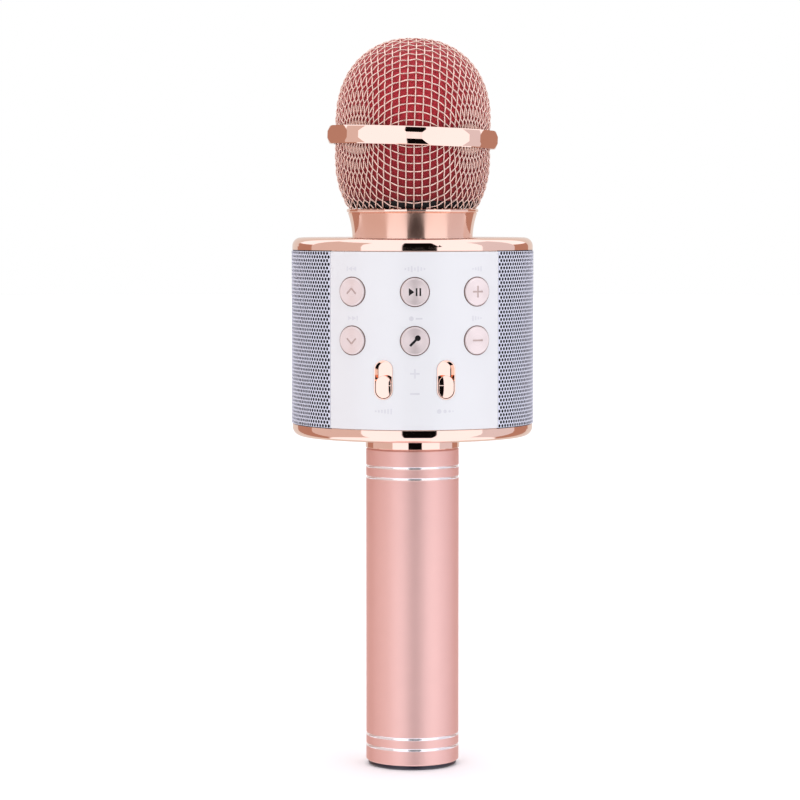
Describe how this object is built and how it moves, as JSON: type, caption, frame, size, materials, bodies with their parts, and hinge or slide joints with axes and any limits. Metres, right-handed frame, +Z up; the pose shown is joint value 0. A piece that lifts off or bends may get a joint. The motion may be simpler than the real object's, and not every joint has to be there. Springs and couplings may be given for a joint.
{
  "type": "karaoke microphone",
  "caption": "Handheld microphone with a ball grille, a drum body with a button panel between perforated speaker meshes, and a round metal handle.",
  "frame": {"origin": "centre of the foot, on the surface the microphone stands on", "axes": "+Z up along the handle towards the grille, -Y out of the button panel, +Y out of the socket panel, +X to the right seen from the buttons"},
  "size_m": [0.082, 0.083, 0.2474],
  "materials": {
    "rose_gold_plate": "mirror-bright rose-gold plating",
    "rose_wire": "rose-gold plated wire",
    "spun_plate": "rose-gold plating, circular brushed face",
    "rose_anodised": "satin rose anodising",
    "white_gloss": "gloss white",
    "mesh_paint": "light grey paint",
    "foam": "open-cell foam",
    "black_plastic": "matt black",
    "dark_cap": "matt, nearly black",
    "black_rubber": "matt",
    "board_green": "solder mask",
    "steel": "plain steel",
    "ferrite": "ferrite and plated steel",
    "paper_cone": "pressed paper",
    "cell_sleeve": "shrink sleeve",
    "clear_pipe": "clear moulded plastic",
    "lead_sleeve": "PVC sleeve"
  },
  "bodies": {
    "microphone": {"aux_jack": "black_plastic", "battery_cell": "cell_sleeve", "battery_contacts": "steel", "battery_cradle": "black_plastic", "battery_leads": "lead_sleeve", "board_screws": "steel", "bottom_cover": "rose_gold_plate", "capsule_bracket": "black_plastic", "capsule_shock_mount": "black_rubber", "card_slot": "steel", "charging_socket": "steel", "chassis": "black_plastic", "end_cap": "dark_cap", "frame_screws": "steel", "front_panel": "white_gloss", "handle_collar": "rose_gold_plate", "handle_tube": "rose_anodised", "left_slider_trim": "rose_gold_plate", "left_speaker_frame": "steel", "left_speaker_magnet": "ferrite", "left_speaker_mesh": "mesh_paint", "left_speaker_surround": "black_rubber", "main_pcb": "board_green", "mic_capsule": "steel", "mic_leads": "lead_sleeve", "neck_collar": "rose_gold_plate", "pcb_components": "black_plastic", "port_pcb": "board_green", "power_switch_body": "black_plastic", "rear_panel": "white_gloss", "right_slider_trim": "rose_gold_plate", "right_speaker_frame": "steel", "right_speaker_magnet": "ferrite", "right_speaker_mesh": "mesh_paint", "right_speaker_surround": "black_rubber", "side_key_boards": "board_green", "slide_pots": "steel", "speaker_leads": "lead_sleeve", "speaker_screws": "steel", "status_led": "clear_pipe", "tact_switches": "black_plastic", "top_cover": "rose_gold_plate", "usb_socket": "steel"},
    "upper_left_button": {"upper_left_button": "spun_plate"},
    "upper_centre_button": {"upper_centre_button": "spun_plate"},
    "upper_right_button": {"upper_right_button": "spun_plate"},
    "lower_left_button": {"lower_left_button": "spun_plate"},
    "lower_centre_button": {"lower_centre_button": "spun_plate"},
    "lower_right_button": {"lower_right_button": "spun_plate"},
    "left_slider": {"left_slider_knob": "rose_gold_plate"},
    "left_cone": {"left_speaker_cone": "paper_cone"},
    "right_slider": {"right_slider_knob": "rose_gold_plate"},
    "right_cone": {"right_speaker_cone": "paper_cone"},
    "power_switch": {"power_switch_knob": "rose_gold_plate"},
    "grille_thread": {"grille_base_ring": "rose_gold_plate"},
    "grille": {"upper_grille_dome": "rose_wire", "lower_grille_basket": "rose_wire", "grille_ring": "rose_gold_plate", "foam_liner": "foam"}
  },
  "joints": [
    {"name": "upper_left_button_press", "type": "slide", "parent": "microphone", "child": "upper_left_button", "axis": [0.5, 0.866, 0], "range_m": [0, 0.0005], "stiffness_N_per_m": 2500},
    {"name": "upper_centre_button_press", "type": "slide", "parent": "microphone", "child": "upper_centre_button", "axis": [0, 1, 0], "range_m": [0, 0.0005], "stiffness_N_per_m": 2500},
    {"name": "upper_right_button_press", "type": "slide", "parent": "microphone", "child": "upper_right_button", "axis": [-0.5, 0.866, 0], "range_m": [0, 0.0005], "stiffness_N_per_m": 2500},
    {"name": "lower_left_button_press", "type": "slide", "parent": "microphone", "child": "lower_left_button", "axis": [0.5, 0.866, 0], "range_m": [0, 0.0005], "stiffness_N_per_m": 2500},
    {"name": "lower_centre_button_press", "type": "slide", "parent": "microphone", "child": "lower_centre_button", "axis": [0, 1, 0], "range_m": [0, 0.0005], "stiffness_N_per_m": 2500},
    {"name": "lower_right_button_press", "type": "slide", "parent": "microphone", "child": "lower_right_button", "axis": [-0.5, 0.866, 0], "range_m": [0, 0.0005], "stiffness_N_per_m": 2500},
    {"name": "left_slider_slide", "type": "slide", "parent": "microphone", "child": "left_slider", "axis": [0, 0, 1], "range_m": [0, 0.0046]},
    {"name": "right_slider_slide", "type": "slide", "parent": "microphone", "child": "right_slider", "axis": [0, 0, 1], "range_m": [0, 0.0046]},
    {"name": "power_switch_slide", "type": "slide", "parent": "microphone", "child": "power_switch", "axis": [0, 0, 1], "range_m": [0, 0.0036]},
    {"name": "left_cone_travel", "type": "slide", "parent": "microphone", "child": "left_cone", "axis": [-1, 0, 0], "range_m": [-0.0005, 0.0005], "stiffness_N_per_m": 900},
    {"name": "right_cone_travel", "type": "slide", "parent": "microphone", "child": "right_cone", "axis": [1, 0, 0], "range_m": [-0.0005, 0.0005], "stiffness_N_per_m": 900},
    {"name": "grille_lift", "type": "slide", "parent": "microphone", "child": "grille_thread", "axis": [0, 0, 1], "range_m": [0, 0.003]},
    {"name": "grille_turn", "type": "hinge", "parent": "grille_thread", "child": "grille", "pos_m": [0, 0, 0.1896], "axis": [0, 0, 1], "range_deg": [0, 720]}
  ],
  "couplings": [
    {"joint": "grille_lift", "follows": "grille_turn", "m_per_rad": 0.00023873}
  ]
}
